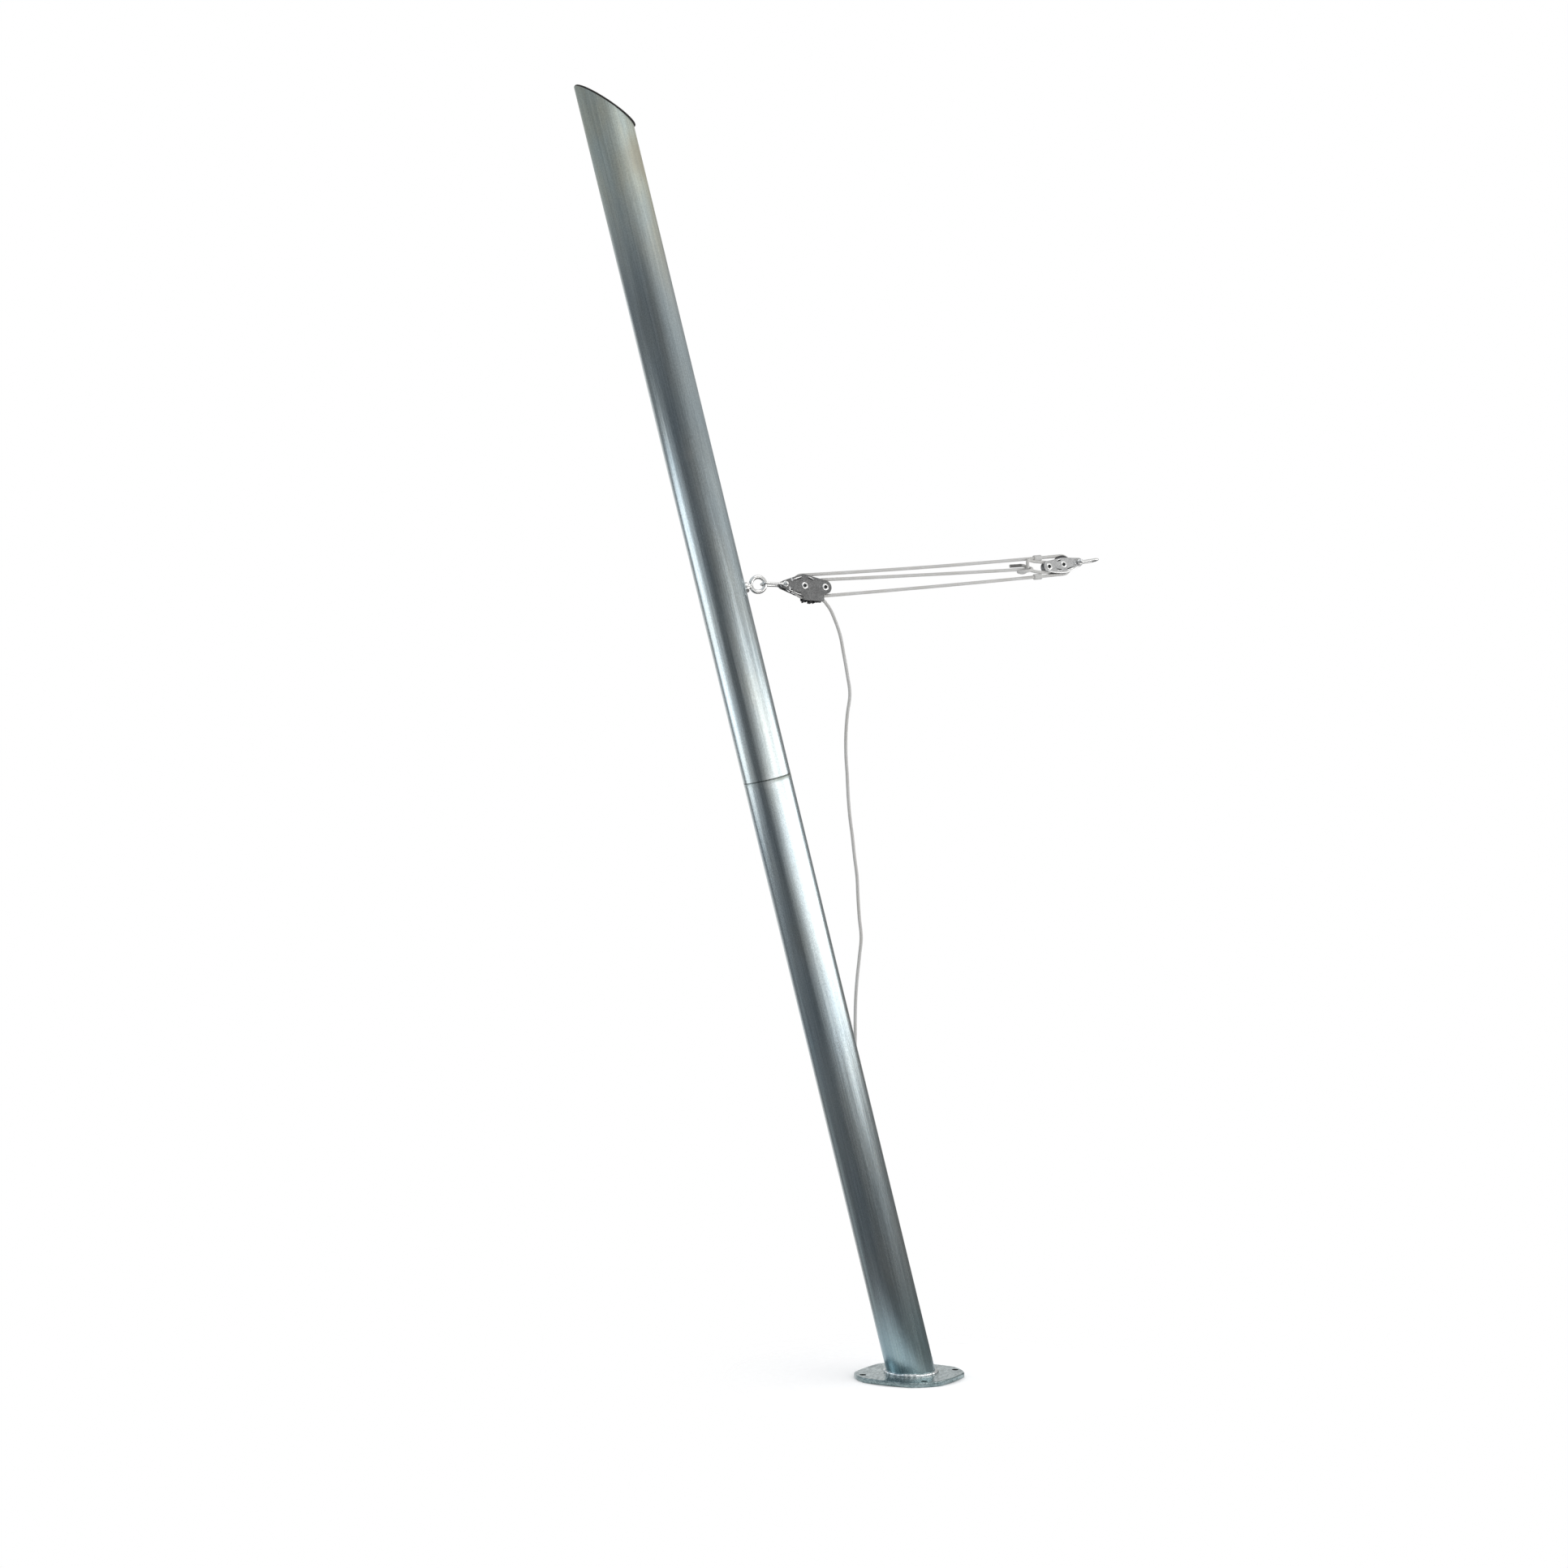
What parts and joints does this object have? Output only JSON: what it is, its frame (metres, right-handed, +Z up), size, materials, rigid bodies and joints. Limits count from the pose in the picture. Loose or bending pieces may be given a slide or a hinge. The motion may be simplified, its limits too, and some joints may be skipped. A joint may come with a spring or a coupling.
{
  "type": "shade sail mast",
  "caption": "Leaning galvanised tube mast, joined over an inner sleeve and welded on a bolt-down plate, with a ring eye and a rope tackle that tensions a shade sail.",
  "frame": {"origin": "centre of the base plate's underside", "axes": "+Z up; the mast leans towards -X in the X-Z plane and the rope tackle runs out towards +X; -Y is the side with the shackle pins' ball heads"},
  "size_m": [1.3649, 0.3281, 3.0466],
  "materials": {
    "galvanised_tube": "satin hot-dip zinc, fine vertical streaks",
    "galvanised_plate": "rippled hot-dip zinc",
    "weld_metal": "bright zinc-coated weld bead",
    "sleeve_steel": "mill zinc",
    "cap_rubber": "black moulded, matt",
    "eye_steel": "polished stainless",
    "shackle_steel": "polished stainless",
    "cheek_steel": "grey brushed stainless",
    "bush_steel": "bright stainless",
    "jam_steel": "dark hardened teeth",
    "axle_steel": "bright rolled rims",
    "sheave_metal": "dark hard-anodised",
    "rope_braid": "light grey double braid",
    "whipping_twine": "light grey twine"
  },
  "bodies": {
    "mast": {"base_plate": "galvanised_plate", "base_weld": "weld_metal", "lower_tube": "galvanised_tube", "joint_sleeve": "sleeve_steel", "upper_tube": "galvanised_tube", "top_cap": "cap_rubber", "ring_eye": "eye_steel", "eye_nut": "eye_steel"},
    "first_shackle": {"first_shackle": "shackle_steel", "first_shackle_pin": "shackle_steel"},
    "tackle": {"first_near_cheek": "cheek_steel", "first_far_cheek": "cheek_steel", "first_head_bush": "bush_steel", "first_spacers": "bush_steel", "jam_teeth": "jam_steel", "large_axle": "axle_steel", "small_axle": "axle_steel", "top_strand": "rope_braid", "middle_strand": "rope_braid", "bottom_strand": "rope_braid", "large_turn": "rope_braid", "small_turn": "rope_braid", "far_turn": "rope_braid", "jam_run": "rope_braid", "becket_knot": "rope_braid", "becket_legs": "rope_braid", "becket_turn": "rope_braid", "top_whipping": "whipping_twine", "bottom_whipping": "whipping_twine", "second_near_cheek": "cheek_steel", "second_far_cheek": "cheek_steel", "second_head_bush": "bush_steel", "second_spacers": "bush_steel", "becket_axle": "axle_steel", "far_axle": "axle_steel"},
    "large_sheave": {"large_sheave": "sheave_metal"},
    "small_sheave": {"small_sheave": "sheave_metal"},
    "far_sheave": {"far_sheave": "sheave_metal"},
    "second_shackle": {"second_shackle": "shackle_steel", "second_shackle_pin": "shackle_steel"},
    "rope_tail": {"tail_rope": "rope_braid"}
  },
  "joints": [
    {"name": "tackle_slew", "type": "hinge", "parent": "mast", "child": "first_shackle", "pos_m": [-0.35751, 0, 1.8937], "axis": [-0.0558, 0, 0.9984], "range_deg": [-4, 40]},
    {"name": "tackle_swing", "type": "hinge", "parent": "first_shackle", "child": "tackle", "pos_m": [-0.31082, 0.00865, 1.8926], "axis": [-0.1835, 0.9676, -0.1734], "range_deg": [-50, 20]},
    {"name": "tail_hang", "type": "hinge", "parent": "tackle", "child": "rope_tail", "pos_m": [-0.20964, 0.02161, 1.85784], "axis": [-0.1835, 0.9676, -0.1734], "range_deg": [-20, 50]},
    {"name": "large_sheave_spin", "type": "hinge", "parent": "tackle", "child": "large_sheave", "pos_m": [-0.25922, 0.01796, 1.88994], "axis": [-0.1835, 0.9676, -0.1734], "continuous": true},
    {"name": "small_sheave_spin", "type": "hinge", "parent": "tackle", "child": "small_sheave", "pos_m": [-0.20565, 0.02762, 1.88717], "axis": [-0.1835, 0.9676, -0.1734], "continuous": true},
    {"name": "far_sheave_spin", "type": "hinge", "parent": "tackle", "child": "far_sheave", "pos_m": [0.44415, 0.16258, 1.95275], "axis": [-0.1835, 0.9676, -0.1734], "continuous": true},
    {"name": "far_shackle_swing", "type": "hinge", "parent": "tackle", "child": "second_shackle", "pos_m": [0.48818, 0.17208, 1.95918], "axis": [-0.1835, 0.9676, -0.1734], "range_deg": [-90, 90]}
  ],
  "couplings": [
    {"joint": "tail_hang", "follows": "tackle_swing", "ratio": -1}
  ]
}
